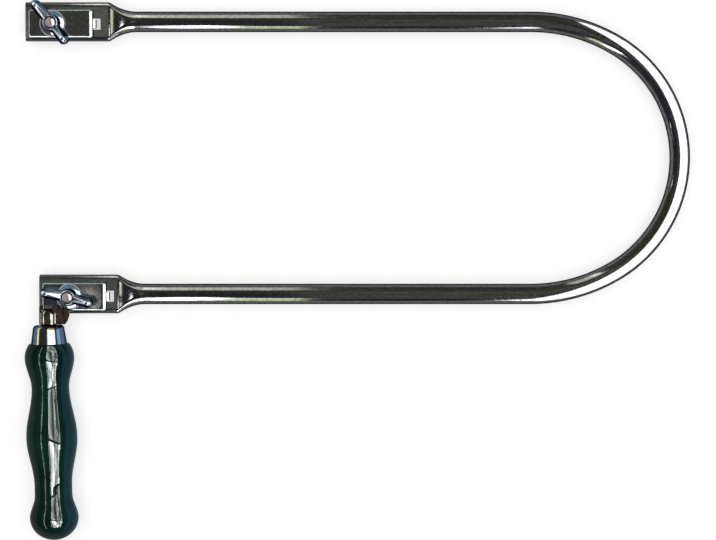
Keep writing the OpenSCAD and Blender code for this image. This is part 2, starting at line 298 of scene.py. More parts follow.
def square_bar(name, centre, half, bottom, top, round_r):
    """Upright square bar with rounded edges."""
    x, y = centre
    bar = box(name, (x - half, y - half, bottom), (x + half, y + half, top))
    bevel = bar.modifiers.new("round", "BEVEL")
    bevel.width = round_r * MM
    bevel.segments = 3
    bevel.limit_method = "NONE"
    return applied(bar)


def prism(name, near, far, sharp=32):
    """Solid between two outlines that have the same number of points."""
    n = len(near)
    faces = [range(n), range(2 * n - 1, n - 1, -1)]
    faces += [(i, (i + 1) % n, (i + 1) % n + n, i + n) for i in range(n)]
    return make(name, near + far, faces, sharp)


def hull(name, points):
    bm = bmesh.new()
    for point in points:
        bm.verts.new([float(c) * MM for c in point])
    made = bmesh.ops.convex_hull(bm, input=bm.verts)
    loose = {g for g in made["geom_interior"] + made["geom_unused"] if isinstance(g, bmesh.types.BMVert)}
    bmesh.ops.delete(bm, geom=list(loose), context="VERTS")
    mesh = bpy.data.meshes.new(name)
    bm.to_mesh(mesh)
    bm.free()
    return add_object(name, mesh)


def soft_cast(piece, rounds):
    """One skin round overlapping shells, rounded as a casting or pressing is."""
    skin = piece.modifiers.new("skin", "REMESH")
    skin.mode = "VOXEL"
    skin.voxel_size = SKIN_VOXEL * MM
    skin.adaptivity = 0.0
    rounding = piece.modifiers.new("round", "SMOOTH")
    rounding.factor = 0.5
    rounding.iterations = rounds
    return applied(piece)


def quarter(steps, first=0):
    """Sine and cosine of the angles from 0 to 90, in equal steps."""
    return [(sine(90 * k / steps), cosine(90 * k / steps)) for k in range(first, steps + 1)]


# Bow

def flare_half_sizes(along):
    """Half width and half thickness at a distance along a flare, whose start is slightly rounded."""
    nearby = along + np.linspace(-0.55, 0.55, 9)
    flatness = (1 - np.clip(nearby / FLARE_L, 0, 1)) ** 2
    half_w = TUBE_R + (FLAT_W / 2 - TUBE_R) * flatness
    half_t = TUBE_R - (TUBE_R - FLAT_T / 2) * flatness
    return half_w.mean(), half_t.mean()


# Distances from a clamp's end to the rings of points on its flat end
FLAT_RINGS = {1: (0.12, 0.3, 8, 20, 30, 36), -1: (0.12, 0.3, 8, 18, 27, 34)}


def arm_sections(at):
    """(x, half width, half thickness, bevel) along one arm, from the clamp's end to the bend."""
    start = 0 if at > 0 else LOWER_SETBACK
    flare_start = start + FLAT_L[at]
    bevel = 0.14
    rows = [(start, FLAT_W / 2, FLAT_T / 2, bevel)]
    for along in FLAT_RINGS[at]:
        rows.append((start + along, FLAT_W / 2, FLAT_T / 2, 0))
    for along in np.linspace(-1.2, FLARE_L, 34):
        rows.append((flare_start + along, *flare_half_sizes(along), 0))
    for x in np.linspace(flare_start + FLARE_L, SHOULDER_X, 42)[1:]:
        rows.append((x, TUBE_R, TUBE_R, 0))
    return rows


def bend_point(angle):
    """The point on the bend's centre line from which straight out is at the angle from +X."""
    if abs(angle) <= CROWN_ANGLE:
        return CROWN_X + CROWN_R * cosine(angle), CROWN_R * sine(angle)
    y = SHOULDER_R * sine(angle) - math.copysign(SHOULDER_Y, angle)
    return SHOULDER_X + SHOULDER_R * cosine(angle), y


def bow_path():
    """(x, y, direction, half width, half thickness, bevel) from the upper clamp to the lower one."""
    path = [(x, ARM_SPACING / 2, 0, *sizes) for x, *sizes in arm_sections(1)]
    shoulder = np.linspace(90, CROWN_ANGLE, 25)[1:]
    crown = np.linspace(CROWN_ANGLE, -CROWN_ANGLE, 73)[1:-1]
    for angle in (*shoulder, *crown, *-shoulder[::-1]):
        path.append((*bend_point(angle), angle - 90, TUBE_R, TUBE_R, 0))
    return path + [(x, -ARM_SPACING / 2, -180, *sizes) for x, *sizes in reversed(arm_sections(-1))]


def bow_skin(sides, inside):
    """Rings of points along the bow, on its outer or its inner skin."""
    points = []
    for x, y, direction, half_w, half_t, bevel in bow_path():
        flatness = (half_w - half_t) / (FLAT_W / 2 - FLAT_T / 2)
        wall = TUBE_WALL + (FLAT_WALL - TUBE_WALL) * flatness
        r = half_t - (wall if inside else bevel)
        across = np.array([-sine(direction), cosine(direction), 0.0])
        middle = np.array([x, y, 0.0]) - ORIGIN
        ring = []
        for i in range(sides):
            a = (i + 0.5) * 2 * math.pi / sides
            out = math.copysign(half_w - half_t, math.cos(a)) + r * math.cos(a)
            ring.append(middle + across * out + UP * r * math.sin(a))
        points.append(ring)
    return points


def bow_tube():
    """Hollow tube, with a slot and a square hole in each flat end."""
    sides = 72
    rings = bow_skin(sides, False) + bow_skin(sides, True)[::-1]
    points = [point for ring in rings for point in ring]
    tube = make("bow_tube", points, loft_faces(len(rings), sides, closed=True), sharp=50)
    bottom = MID_Z - FLAT_T
    top = MID_Z + FLAT_T
    hole = BOLT_R + NECK_PLAY
    cutters = []
    for at in SIDES:
        x, y = clamp_centre(at)
        cutters.append(box("slot", (clamp_x(at, SLOT_START), y - SLOT_W / 2, bottom),
                           (clamp_x(at, SLOT_END), y + SLOT_W / 2, top)))
        cutters.append(box("neck", (x - hole, y - hole, MID_Z), (x + hole, y + hole, top)))
    return weighted(cut(tube, *cutters), 40)


# Clamps

def rounded_rectangle(x0, x1, y0, y1, r):
    steps = 8
    points = []
    corners = ((x1 - r, y1 - r, 0), (x0 + r, y1 - r, 90), (x0 + r, y0 + r, 180), (x1 - r, y0 + r, 270))
    for x, y, start in corners:
        for k in range(steps + 1):
            a = start + 90 * k / steps
            points.append((x + r * cosine(a), y + r * sine(a)))
    return points


def plate_skin(at, depth, roll, heel_roll, steps):
    """Rings of points up one skin of a plate, from its foot to its top, where the edges roll over."""
    roll_h = 1.5
    corner_growth = 0.35
    centre_y = arm_y(at) - CLAMP_DROP
    top = PLATE_Z + PLATE_H - depth
    rings = []
    for rise, run in quarter(steps):
        inward = 1 - run
        edge = depth + roll * inward
        x0 = clamp_x(at, PLATE_IN) + edge
        x1 = clamp_x(at, HEEL_IN) - depth - heel_roll * inward
        half = PLATE_W / 2 - edge
        r = PLATE_CORNER_R - depth / 2 + corner_growth * inward
        z = top - roll_h * (1 - rise)
        rings.append([(x, y, z) for x, y in rounded_rectangle(x0, x1, centre_y - half, centre_y + half, r)])
    return [[(x, y, PLATE_Z) for x, y, _ in rings[0]]] + rings


def clamp_plate(at):
    """Pressed pan with rolled edges, its heel rolled more widely, and a tongue down into the slot."""
    top = PLATE_Z + PLATE_H
    outer = plate_skin(at, depth=0, roll=1.25, heel_roll=2.5, steps=10)
    inner = plate_skin(at, depth=SHEET, roll=0.53, heel_roll=1.54, steps=6)
    rings = inner[::-1] + outer
    n = len(rings[0])
    faces = loft_faces(len(rings), n)
    faces.append(range(n - 1, -1, -1))
    faces.append(range((len(rings) - 1) * n, len(rings) * n))
    plate = make("plate_" + SIDES[at], [point for ring in rings for point in ring], faces, 30)
    cut(plate, tongue_piece(at), how="UNION")
    low = PLATE_Z - OVERRUN
    high = top + OVERRUN
    cut(plate, lathe("hole", [(0, low), (PLATE_HOLE_R, low), (PLATE_HOLE_R, high), (0, high)],
                     centre=(*clamp_centre(at), 0), sides=64))
    if at < 0:
        edge = arm_y(-1) - FLAT_W / 2
        cut(plate, box("notch", (clamp_x(-1, -OVERRUN), edge - OVERRUN, low),
                       (clamp_x(-1, LEAF_W + LEAF_GAP), edge + LEAF_OVER + LEAF_GAP, high)))
    return weighted(plate, 30)


def tongue_piece(at):
    """Bent strip: a slope off the heel's edge, a small bend, and down through the slot."""
    lap = 1.0
    bend_r = 0.35
    bevel = 0.25
    slope = 25
    x = clamp_x(at, HEEL_IN)
    y = arm_y(at) - CLAMP_DROP
    end = MID_Z + TONGUE_END
    top = PLATE_Z + SHEET
    bend_x = x + SHEET - bend_r
    fall = (bend_x - x + bend_r * sine(slope)) * math.tan(math.radians(slope))
    bend_z = top - fall - bend_r * cosine(slope)
    outline = [(x - lap, top), (x, top)]
    for k in range(6):
        a = (90 - slope) * (1 - k / 5)
        outline.append((bend_x + bend_r * cosine(a), bend_z + bend_r * sine(a)))
    outline += [(x + SHEET, end + bevel), (x + SHEET - bevel, end), (x + bevel, end), (x, end + bevel)]
    outline += [(x, PLATE_Z), (x - lap, PLATE_Z)]
    near, far = ([(px, y + side * TONGUE_W / 2, pz) for px, pz in outline] for side in (-1, 1))
    return prism("tongue", near, far, 30)


def washer(at):
    """Domed washer with a flat seat for the nut, and hollow below."""
    seat_r = 4.1
    hole_r = BOLT_R + WASHER_PLAY
    hollow_r = seat_r - 0.4
    hollow_h = WASHER_H - SHEET
    rim_h = 0.4
    bevel = 0.15
    fullness = 1.6
    steepness = 0.7
    profile = [(hole_r + bevel, hollow_h), (hollow_r, hollow_h)]
    for k in range(1, 6):
        share = k / 5
        r = hollow_r + (WASHER_R - SHEET - hollow_r) * share
        profile.append((r, hollow_h * (1 - share ** fullness)))
    profile += [(WASHER_R - bevel, 0), (WASHER_R, bevel)]
    for _, out in quarter(18, first=1):
        rise = (1 - out ** fullness) ** steepness
        profile.append((seat_r + (WASHER_R - seat_r) * out, rim_h + (WASHER_H - rim_h) * rise))
    profile += [(hole_r + 0.25, WASHER_H), (hole_r, WASHER_H - 0.2), (hole_r, hollow_h + bevel)]
    ring = ring_lathe("washer_" + SIDES[at], profile, centre=(*clamp_centre(at), WASHER_Z), sharp=35)
    return weighted(ring, 35)


def bolt(at):
    """Square head and neck below, threaded shank with a domed end and a centre mark."""
    centre = clamp_centre(at)
    inside_z = FACE_Z - FLAT_WALL
    head_h = FLAT_T - 2 * FLAT_WALL - 2 * NECK_PLAY
    lap = 0.3
    skin = 0.02
    core_r = 2.3
    dome_h = 0.35
    head = square_bar("head", centre, HEAD_W / 2, inside_z - head_h, inside_z, 0.3)
    neck = square_bar("neck", centre, BOLT_R - skin, inside_z - lap, FACE_Z, 0.2)
    bottom = inside_z - 0.5
    top = BOLT_TOP_Z - skin
    profile = [(0, bottom), (core_r, bottom)]
    profile += [(core_r, top - 0.9), (2.47, top - 0.8), (2.44, top - 0.6), (core_r, top - 0.46)]
    profile += [(r, top - dome_h * (r / 2.1) ** 2) for r in (2.15, 1.85, 1.55, 1.3, 1.05, 0.8)]
    profile += [(0.62, top - 0.14), (0.35, top - 0.6), (0, top - 0.65)]
    shank = lathe("shank", profile, centre=(*centre, 0), sides=64)
    thread = thread_piece(centre, FACE_Z + 0.4, top - 0.75)
    return weighted(join("bolt_" + SIDES[at], [head, neck, shank, thread]), 30)


def thread_piece(centre, bottom, top):
    """A ridge that winds up the shank and fades at both ends."""
    steps_per_turn = 40
    fade_steps = 12
    root_r = 2.1
    crest_r = BOLT_R - 0.03
    profile = [(root_r, -0.36), (crest_r, -0.07), (crest_r, 0.07), (root_r, 0.36)]
    turns = (top - bottom) / BOLT_PITCH
    n = int(steps_per_turn * turns)
    points = []
    for i in range(n + 1):
        a = 360 * i / steps_per_turn
        fade = min(1.0, i / fade_steps, (n - i) / fade_steps)
        z = bottom + BOLT_PITCH * i / steps_per_turn
        for profile_r, rise in profile:
            r = root_r + (profile_r - root_r) * fade
            points.append((centre[0] + r * cosine(a), centre[1] + r * sine(a), z + rise))
    corners = len(profile)
    faces = loft_faces(n + 1, corners)
    faces += [range(corners), range((n + 1) * corners - 1, n * corners - 1, -1)]
    return make("thread", points, faces, 20)


def ear(centre, direction):
    """One wing: a root in the hub, a round foot and a thin round top, in one hull."""
    root_out = 2.2
    foot_out = 10.4
    top_out = 10.25
    top_z = 9.35
    out = np.array([cosine(direction), sine(direction), 0.0])
    side = np.array([-sine(direction), cosine(direction), 0.0])
    points = []
    for half, z in ((2.3, 0.8), (2.6, 1.6), (2.5, 3), (1.3, 6.3)):
        root = centre + out * root_out + UP * z
        points += [root - side * half, root + side * half]
    for k in range(24):
        a = 15 * k
        for r, z in ((2.45, 5.25), (2.62, 5.6), (2.62, 5.95), (2.4, 6.5)):
            points.append(centre + out * (foot_out + r * cosine(a)) + side * r * sine(a) + UP * z)
        for half, r in ((1.0, 2.35), (0.75, 2.55), (0.3, 2.65)):
            round_top = centre + out * (top_out + r * cosine(a)) + UP * (top_z + r * sine(a))
            points += [round_top - side * half, round_top + side * half]
    return hull("ear", points)


def wing_nut(at):
    """Cast hub with two ears, in one skin, and a bore."""
    centre = np.array([*clamp_centre(at), NUT_Z])
    bore_r = BOLT_R + THREAD_PLAY
    mouth_r = 3.0
    hub = lathe("hub", [(0, 0.02), (3.95, 0.02), (4.1, 0.2), (3.6, 6.15), (3.35, 6.45), (0, 6.45)],
                centre=centre, sides=64)
    ears = [ear(centre, WING_ANGLE[at] + turn) for turn in (0, 180)]
    nut = soft_cast(join("wing_nut_" + SIDES[at], [hub] + ears), 5)
    above = HUB_H + 1.5
    profile = [(0, -OVERRUN), (bore_r, -OVERRUN), (bore_r, HUB_H - 0.55), (mouth_r, HUB_H)]
    profile += [(mouth_r, above), (0, above)]
    return weighted(cut(nut, lathe("bore", profile, centre=centre, sides=64)), 42)


# Handle end

def on_tang(name, profile, form=lathe, **how):
    """Turned piece round the handle's axis."""
    return form(name, profile, centre=PIVOT, axis=AXIS, across=ACROSS, **how)


def bracket():
    """Pressed leaf whose left side is rolled round the tang."""
    bevel = 0.3
    ferrule_play = 0.3
    x0 = clamp_x(-1, 0.0)
    x1 = clamp_x(-1, LEAF_W)
    edge = arm_y(-1) - FLAT_W / 2
    top = edge + LEAF_OVER
    bottom = edge - (FERRULE_GAP - ferrule_play)
    round_y = edge + LEAF_R_IN
    start = math.degrees(math.asin((bottom - round_y) / LEAF_R))
    outline = [(x0 + bevel, top), (x0, top - bevel), (x0, bottom + bevel), (x0 + bevel, bottom)]
    for k in range(25):
        a = start * (1 - k / 24)
        outline.append((x1 - LEAF_R + LEAF_R * cosine(a), round_y + LEAF_R * sine(a)))
    outline += [(x1, top - 0.4), (x1 - 0.4, top)]
    near, far = ([(x, y, z) for x, y in outline] for z in (FACE_Z, FACE_Z + SHEET))
    leaf = prism("leaf", near, far)
    r = TANG_HOLE_R + SHEET
    profile = [(0, -KNUCKLE_RISE)]
    profile += [(r * out, r - KNUCKLE_RISE - r * up) for out, up in quarter(12, first=1)]
    profile += [(r, FERRULE_GAP), (0, FERRULE_GAP)]
    knuckle = on_tang("knuckle", profile, sides=64)
    whole = soft_cast(join("handle_bracket_leaf", [leaf, knuckle]), 4)
    first = -8
    last = FERRULE_GAP + 2
    bore = on_tang("bore", [(0, first), (TANG_HOLE_R, first), (TANG_HOLE_R, last), (0, last)], sides=64)
    margin = 10
    below = box("block", (x0 - margin, edge - 0.1, -margin / 2), (x1 + margin, edge + 2 * margin, FACE_Z))
    return weighted(cut(whole, bore, below), 40)


def ferrule():
    """Tapered cap with a rounded shoulder and a hole for the tang."""
    hole_r = 2.6
    bevel = 0.12
    start = FERRULE_GAP
    shoulder = start + FERRULE_ROUND_R
    shoulder_r = FERRULE_TOP_R - FERRULE_ROUND_R
    profile = [(hole_r, start + 0.1), (hole_r + 0.15, start)]
    for out, up in quarter(12):
        profile.append((shoulder_r + FERRULE_ROUND_R * out, shoulder - FERRULE_ROUND_R * up))
    for k in range(1, 8):
        share = k / 8
        profile.append((FERRULE_TOP_R + (FERRULE_BASE_R - FERRULE_TOP_R) * share,
                        shoulder + (WOOD_START - shoulder) * share))
    profile += [(FERRULE_BASE_R, WOOD_START - bevel), (FERRULE_BASE_R - bevel, WOOD_START)]
    profile += [(FERRULE_BASE_R - FERRULE_WALL, WOOD_START), (FERRULE_TOP_R - FERRULE_WALL, shoulder)]
    profile += [(shoulder_r, start + FERRULE_WALL), (hole_r, start + FERRULE_WALL)]
    cap = on_tang("ferrule_cap", profile, form=ring_lathe, sides=128, sharp=40)
    return weighted(cap, 40)


def handle_profile():
    """(radius, place) down the wood: a rounded top, eased bulges and necks, and a rounded end."""
    places = [share * HANDLE_L for share in PLACE_SHARES]
    radii = [share * HANDLE_R for share in RADIUS_SHARES]
    top_l = TOP_SHARE * HANDLE_L
    profile = []
    for k in range(17):
        place = places[0] * k / 16
        profile.append((radii[0] * math.sqrt(1 - ((places[0] - place) / top_l) ** 2), place))
    for i in range(len(places) - 1):
        length = places[i + 1] - places[i]
        steps = max(4, int(length / 1.2))
        for k in range(1, steps + 1):
            share = k / steps
            eased = (1 - cosine(180 * share)) / 2
            profile.append((radii[i] + (radii[i + 1] - radii[i]) * eased, places[i] + length * share))
    for rise, out in quarter(20, first=1)[:-1]:
        profile.append((radii[-1] * out, places[-1] + (HANDLE_L - places[-1]) * rise))
    profile.append((0, HANDLE_L))
    return [(r, WOOD_START + place) for r, place in profile]


def handle():
    """Turned wood with a bore for the tang, and a neck that fills the ferrule."""
    bore_r = 2.56
    bottom = TANG_L + 0.1
    neck = FERRULE_GAP + FERRULE_WALL + 0.05
    profile = [(0, bottom), (bore_r, bottom), (bore_r, neck), (5.6, neck), (6.85, FERRULE_GAP + 2)]
    profile += [(7.95, WOOD_START)] + handle_profile()
    return on_tang("handle_wood", profile, sides=128, sharp=50)


def tang():
    r = TANG_R - 0.02
    profile = [(0, 0.2), (2.3, 0.2), (r, 0.45), (r, TANG_L - 1.5), (1.6, TANG_L - 0.1), (0, TANG_L)]
    return on_tang("tang_rod", profile, sides=48)


# Shader nodes

# Sockets of a Mix node that mixes colours
MIX_FACTOR = 0
MIX_A = 6
MIX_B = 7
MIX_RESULT = 2


def add_node(tree, kind, **values):
    """A shader node with values on its inputs, whose names have underscores here in place of spaces."""
    node = tree.nodes.new("ShaderNode" + kind)
    for name, value in values.items():
        node.inputs[name.replace("_", " ")].default_value = value
    return node


def noise(tree, place, scale, detail):
    node = add_node(tree, "TexNoise", Scale=scale, Detail=detail)
    tree.links.new(place, node.inputs["Vector"])
    return node.outputs["Fac"]


def mapped(tree, value, source=(0, 1), target=(0, 1)):
    """The value, moved from one range to another and kept inside it."""
    node = add_node(tree, "MapRange", From_Min=source[0], From_Max=source[1], To_Min=target[0],
                    To_Max=target[1])
    tree.links.new(value, node.inputs["Value"])
    return node.outputs["Result"]


def maths(tree, operation, *values):
    """A Math node; each value is a number or a socket."""
    node = add_node(tree, "Math")
    node.operation = operation
    for socket, value in zip(node.inputs, values):
        if isinstance(value, (int, float)):
            socket.default_value = value
        else:
            tree.links.new(value, socket)
    return node.outputs[0]


def ramp(tree, value, stops):
    """Colours along a value, from (position, colour) pairs."""
    node = add_node(tree, "ValToRGB")
    elements = node.color_ramp.elements
    for element, (position, colour) in zip(elements, (stops[0], stops[-1])):
        element.position = position
        element.color = (*colour, 1)
    for position, colour in stops[1:-1]:
        elements.new(position).color = (*colour, 1)
    tree.links.new(value, node.inputs["Fac"])
    return node.outputs["Color"]


def colour_until(tree, factor, colour, socket):
    """The plain colour where the factor is 0, and what the socket gives where it is 1."""
    node = add_node(tree, "Mix")
    node.data_type = "RGBA"
    node.inputs[MIX_A].default_value = (*colour, 1)
    tree.links.new(factor, node.inputs[MIX_FACTOR])
    tree.links.new(socket, node.inputs[MIX_B])
    return node.outputs[MIX_RESULT]


# Materials

def material(name, colour, rough, dark=None, edge=None, spread=0.12, scale=120, bump=0.02, bump_scale=400):
    """Metal with noise in its colour and roughness, and a fine bump.

    The noise goes from dark, or the colour itself, to the colour, and spread sets them further apart. edge
    is the tint at a grazing angle, bump is the bump's depth, and the scales are those of the noise.
    """
    rough_spread = 0.05
    made = bpy.data.materials.new(name)
    made.use_nodes = True
    tree = made.node_tree
    shader = tree.nodes["Principled BSDF"]
    place = add_node(tree, "TexCoord").outputs["Object"]
    stops = [(0.35, [c * (1 - spread) for c in dark or colour]), (0.65, [c * (1 + spread) for c in colour])]
    tree.links.new(ramp(tree, noise(tree, place, scale, 5), stops), shader.inputs["Base Color"])
    rough_range = (rough - rough_spread, rough + rough_spread)
    uneven = mapped(tree, noise(tree, place, scale * 2.3, 4), target=rough_range)
    tree.links.new(uneven, shader.inputs["Roughness"])
    bumps = add_node(tree, "Bump", Strength=1.0, Distance=bump * MM)
    tree.links.new(noise(tree, place, bump_scale, 3), bumps.inputs["Height"])
    tree.links.new(bumps.outputs["Normal"], shader.inputs["Normal"])
    shader.inputs["Metallic"].default_value = 1.0
    if edge:
        shader.inputs["Specular Tint"].default_value = (*edge, 1)
    return made


def lacquer(made, coat, coat_rough):
    """Turns a metal into wood under a clear coat, whose reflections are the coat's alone."""
    shader = made.node_tree.nodes["Principled BSDF"]
    shader.inputs["Metallic"].default_value = 0.0
    shader.inputs["Specular IOR Level"].default_value = 0.0
    shader.inputs["Coat Weight"].default_value = coat
    shader.inputs["Coat Roughness"].default_value = coat_rough
    return made


def paint_shadow(made, centre, radius, colour):
    """Paints shade into a surface's colour: darkens a round area, as seen from above, inside the radius."""
    tree = made.node_tree
    base = tree.nodes["Principled BSDF"].inputs["Base Color"]
    flat = add_node(tree, "VectorMath")
    flat.operation = "MULTIPLY"
    flat.inputs[1].default_value = (1, 1, 0)
    tree.links.new(add_node(tree, "TexCoord").outputs["Object"], flat.inputs[0])
    gap = add_node(tree, "VectorMath")
    gap.operation = "DISTANCE"
    gap.inputs[1].default_value = (centre[0] * MM, centre[1] * MM, 0)
    tree.links.new(flat.outputs[0], gap.inputs[0])
    outside = mapped(tree, gap.outputs["Value"], ((radius - 0.3) * MM, (radius + 0.1) * MM))
    tree.links.new(colour_until(tree, outside, colour, base.links[0].from_socket), base)


STEEL = material("bright steel", (0.115, 0.115, 0.12), rough=0.09, edge=(0.0, 0.0, 0.02), spread=0.2,
                 scale=620, bump=0.003, bump_scale=300)
PLATE = material("plated clamp", (0.20, 0.22, 0.22), rough=0.14, edge=(0.05, 0.05, 0.05), spread=0.24,
                 scale=700, bump=0.012, bump_scale=420)
WASHER = material("plated washer", (0.32, 0.35, 0.38), rough=0.12, edge=(0.1, 0.1, 0.1), bump=0.006)
NUT = material("plated casting", (0.25, 0.28, 0.31), rough=0.13, edge=(0.01, 0.04, 0.08), bump=0.03,
               bump_scale=420)
BOLT = material("bolt steel", (0.62, 0.58, 0.58), rough=0.22, bump_scale=900)
BRACKET = material("dark pressed steel", (0.085, 0.078, 0.066), rough=0.18, dark=(0.03, 0.026, 0.02),
                   scale=520, bump=0.012, bump_scale=420)
FERRULE = material("ferrule steel", (0.11, 0.155, 0.21), rough=0.13, edge=(0.0, 0.03, 0.08), bump=0.01,
                   bump_scale=200)
# Painted shadow: the shade of the bracket's rounded end over the ferrule's shoulder, painted dark into the
# ferrule's colour
paint_shadow(FERRULE, centre=(-148.1, -18.6), radius=9.3, colour=(0.035, 0.026, 0.02))
TANG = material("tang steel", (0.25, 0.24, 0.23), rough=0.3)
PAINT = lacquer(material("green lacquer", (0.0042, 0.025, 0.0175), rough=0.16, dark=(0.0025, 0.014, 0.012),
                         scale=60, bump=0.09, bump_scale=290), coat=0.18, coat_rough=0.04)


# Pieces on the frame

PIECES = {}


def show(name, piece, look, body, node):
    """Gives a piece its name, its material and its place in the frame."""
    piece.name = name
    piece.data.materials.clear()
    piece.data.materials.append(look)
    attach(piece, body)
    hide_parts(node)
    PIECES[name] = piece


show("bow_tube", bow_tube(), STEEL, "frame", "bow")
show("handle_bracket_leaf", bracket(), BRACKET, "frame", "handle_bracket")
show("ferrule_cap", ferrule(), FERRULE, "frame", "ferrule")
show("handle_wood", handle(), PAINT, "frame", "handle")
show("tang_rod", tang(), TANG, "frame", "tang")
for at, side in SIDES.items():
    show("plate_" + side, clamp_plate(at), PLATE, side + "_plate", side + "_clamp_plate")
    show("washer_" + side, washer(at), WASHER, side + "_washer", side + "_washer")
    show("wing_nut_" + side, wing_nut(at), NUT, side + "_nut", side + "_wing_nut")
    show("bolt_" + side, bolt(at), BOLT, "frame", side + "_clamp_bolt")


# Stage

def floor_piece():
    """White paper that keeps the saw's shadow, and shows white to the camera and in reflections."""
    half = 4000
    level = -0.05
    glow = 0.62
    corners = ((-half, -half), (half, -half), (half, half), (-half, half))
    paper = make("floor", [(x, y, level) for x, y in corners], [(0, 1, 2, 3)])
    made = bpy.data.materials.new("floor paper")
    made.use_nodes = True
    tree = made.node_tree
    shader = tree.nodes["Principled BSDF"]
    shader.inputs["Base Color"].default_value = (0.5, 0.5, 0.5, 1)
    shader.inputs["Roughness"].default_value = 1.0
    shader.inputs["Specular IOR Level"].default_value = 0.0
    ray = add_node(tree, "LightPath").outputs
    seen = maths(tree, "MAXIMUM", ray["Is Camera Ray"], ray["Is Glossy Ray"])
    seen = maths(tree, "MAXIMUM", seen, ray["Is Transmission Ray"])
    emission = add_node(tree, "Emission")
    tree.links.new(maths(tree, "MULTIPLY", seen, glow), emission.inputs["Strength"])
    both = add_node(tree, "AddShader")
    tree.links.new(shader.outputs[0], both.inputs[0])
    tree.links.new(emission.outputs[0], both.inputs[1])
    tree.links.new(both.outputs[0], tree.nodes["Material Output"].inputs[0])
    paper.data.materials.append(made)


def world():
    """Dark room above a white horizon, a little uneven, as bright plating shows it."""
    room = bpy.data.worlds.new("studio")
    bpy.context.scene.world = room
    room.use_nodes = True
    tree = room.node_tree
    direction = add_node(tree, "TexCoord").outputs["Generated"]
    parts = add_node(tree, "SeparateXYZ")
    tree.links.new(direction, parts.inputs[0])
    # Colours of the room from the near side, past straight up, to the far side
    stops = [(0.0, (0.14, 0.14, 0.17)), (0.22, (0.20, 0.20, 0.22)), (0.45, (0.14, 0.13, 0.19)),
             (0.53, (0.20, 0.18, 0.16)), (0.66, (0.24, 0.22, 0.13)), (0.8, (0.34, 0.33, 0.27)),
             (1.0, (0.22, 0.22, 0.22))]
    colours = ramp(tree, mapped(tree, parts.outputs["Y"], source=(-1, 1)), stops)
    uneven = add_node(tree, "VectorMath")
    uneven.operation = "SCALE"
    tree.links.new(colours, uneven.inputs[0])
    patches = mapped(tree, noise(tree, direction, 16, 7), (0.3, 0.7), (0.45, 1.2))
    tree.links.new(patches, uneven.inputs["Scale"])
    above = mapped(tree, parts.outputs["Z"], (0.05, 0.12))
    sky = colour_until(tree, above, (1, 1, 1), uneven.outputs[0])
    tree.links.new(sky, tree.nodes["Background"].inputs["Color"])


# The camera looks almost straight down, through a long lens
CAMERA = Vector((0.0, 50.0, MID_Z + 1100))
CAMERA_AIM = Vector((0.42, 0.96, MID_Z))


def frame_matrix(place, right, back):
    """Matrix of a lamp or camera at a place, from its right and its back."""
    up = back.cross(right)
    rows = [(right[i], up[i], back[i], place[i] * MM) for i in range(3)]
    return Matrix(rows + [(0, 0, 0, 1)])


def towards(zenith, azimuth):
    """Direction at an angle from straight up, turned from +X towards +Y."""
    return Vector((sine(zenith) * cosine(azimuth), sine(zenith) * sine(azimuth), cosine(zenith)))


def area(name, place, width, height, radiance, colour=(1, 1, 1), aim=None, only=None, shape="RECTANGLE",
         up=None):
    """A soft lamp of a given brightness, which faces down or towards its aim.

    A lamp for some pieces only is seen in their reflections and doesn't light them, and a lamp for all
    pieces lights them and isn't seen.
    """
    data = bpy.data.lights.new(name, "AREA")
    data.shape = shape
    data.size = width * MM
    data.size_y = height * MM
    fill = math.pi / 4 if shape == "ELLIPSE" else 1.0
    data.energy = radiance * math.pi * width * height * fill * MM ** 2
    data.color = colour
    lamp = add_object(name, data)
    back = (Vector(place) - Vector(aim or (place[0], place[1], 0))).normalized()
    if up is None:
        up = Vector((0, 0, 1)) if abs(back.z) < 0.999 else Vector((0, 1, 0))
    lamp.matrix_world = frame_matrix(place, up.cross(back).normalized(), back)
    lamp.visible_camera = False
    lamp.visible_glossy = only is not None
    lamp.visible_diffuse = only is None
    if only:
        lit = bpy.data.collections.new(name + " on")
        for piece in only:
            lit.objects.link(PIECES[piece])
        lamp.light_linking.receiver_collection = lit
    return lamp


def card(name, target, zenith, azimuth, wide, tall, radiance, colour=(1, 1, 1), only=None):
    """A lamp seen only in reflections. Its direction and its size are angles, as seen from the target."""
    distance = 900
    place = Vector(target) + towards(zenith, azimuth) * distance
    width, height = (2 * distance * math.tan(math.radians(angle / 2)) for angle in (wide, tall))
    return area(name, place, width, height, radiance, colour, aim=target, only=only)


def glint(name, point, tilt, azimuth, distance, width, height, radiance, colour=(1, 1, 1), only=None):
    """A small round lamp where a surface that is tilted towards the azimuth shows it to the camera."""
    normal = towards(tilt, azimuth)
    seen = (Vector(point) - CAMERA).normalized()
    place = Vector(point) + (seen - 2 * seen.dot(normal) * normal) * distance
    return area(name, place, width, height, radiance, colour, aim=point, only=only, shape="ELLIPSE")


def lamp_nodes(lamp):
    """The lamp's node tree, places over its face from 0 to 1, and the socket of its strength."""
    lamp.data.use_nodes = True
    tree = lamp.data.node_tree
    place = add_node(tree, "NewGeometry").outputs["Parametric"]
    return tree, place, tree.nodes["Emission"].inputs["Strength"]


def mottled(lamp, scale, low, high, dark=0.38, bright=0.62):
    """Uneven light, as a ceiling gives: low where the noise is below dark, and high above bright."""
    tree, place, strength = lamp_nodes(lamp)
    tree.links.new(mapped(tree, noise(tree, place, scale, 6), (dark, bright), (low, high)), strength)


